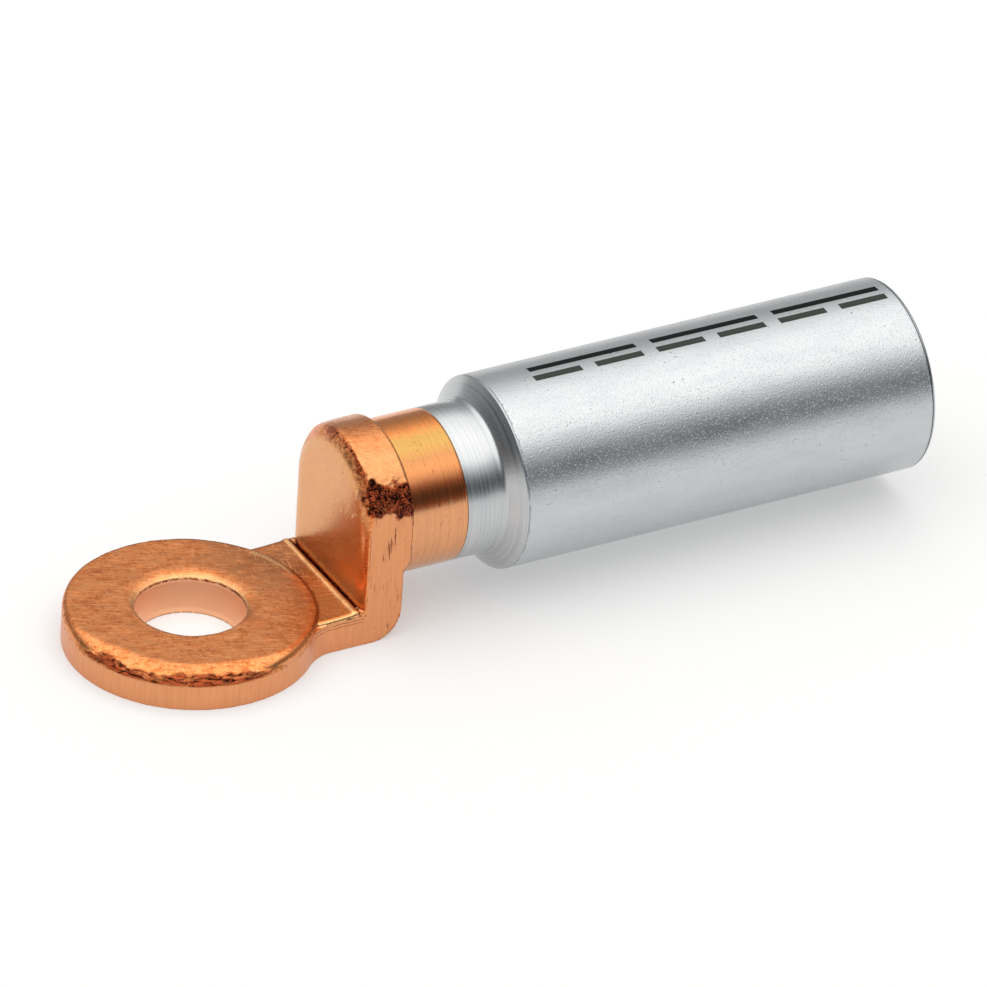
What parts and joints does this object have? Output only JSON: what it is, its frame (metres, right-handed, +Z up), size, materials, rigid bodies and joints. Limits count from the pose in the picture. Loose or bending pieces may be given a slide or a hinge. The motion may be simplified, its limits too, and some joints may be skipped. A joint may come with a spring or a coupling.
{
  "type": "cable lug",
  "caption": "Compression cable lug with a ring palm on an upright copper web, friction welded to a round aluminium barrel with a blind bore for the stripped conductor.",
  "frame": {"origin": "centre of the bolt hole, on the underside of the palm", "axes": "+X along the barrel towards its mouth, +Z up out of the palm, away from the face that bolts down"},
  "size_m": [0.1159, 0.032, 0.027],
  "materials": {
    "copper": "bare copper, forged and sheared, turned bright on the shank",
    "aluminium": "bare drawn aluminium, turned on the collar and shoulder"
  },
  "bodies": {
    "root": {"copper_palm": "copper", "aluminium_barrel": "aluminium"}
  },
  "joints": []
}
